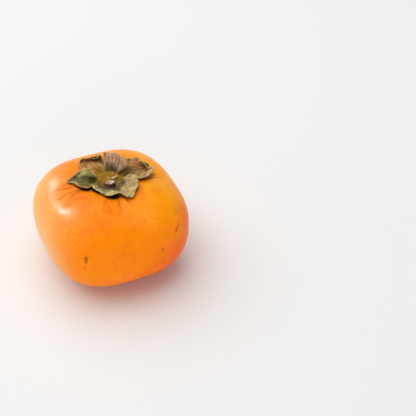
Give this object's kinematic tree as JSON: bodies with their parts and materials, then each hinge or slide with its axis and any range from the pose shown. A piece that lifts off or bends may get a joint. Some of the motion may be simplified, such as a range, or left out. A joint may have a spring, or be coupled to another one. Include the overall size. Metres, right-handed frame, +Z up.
{
  "type": "persimmon",
  "caption": "Whole squarish kaki persimmon with a dry leafy calyx and a worn stem stub, standing on its blossom end.",
  "frame": {"origin": "on the surface that the fruit stands on, under the middle of its bounding box", "axes": "+Z up out of the stem end; +Y away from the widest sepal, which points to -Y"},
  "size_m": [0.0766, 0.0768, 0.0536],
  "materials": {
    "persimmon_skin": "ripe orange fruit skin, waxy and half glossy, with a thin pale bloom",
    "calyx_middle": "dry yellow-olive fused middle of the calyx, matt",
    "dry_sepal": "dry papery sepal, grey-green to tan with a purple tinge, veined and matt",
    "stem_bark": "dark brown bark and worn wood",
    "dry_style": "blackened dry remnant, matt"
  },
  "bodies": {
    "root": {"fruit": "persimmon_skin", "calyx_disc": "calyx_middle", "sepal_front": "dry_sepal", "sepal_right": "dry_sepal", "sepal_back": "dry_sepal", "sepal_back_left": "dry_sepal", "sepal_left": "dry_sepal", "stem_stub": "stem_bark", "bark_flake": "stem_bark", "style_remnant": "dry_style"}
  },
  "joints": []
}
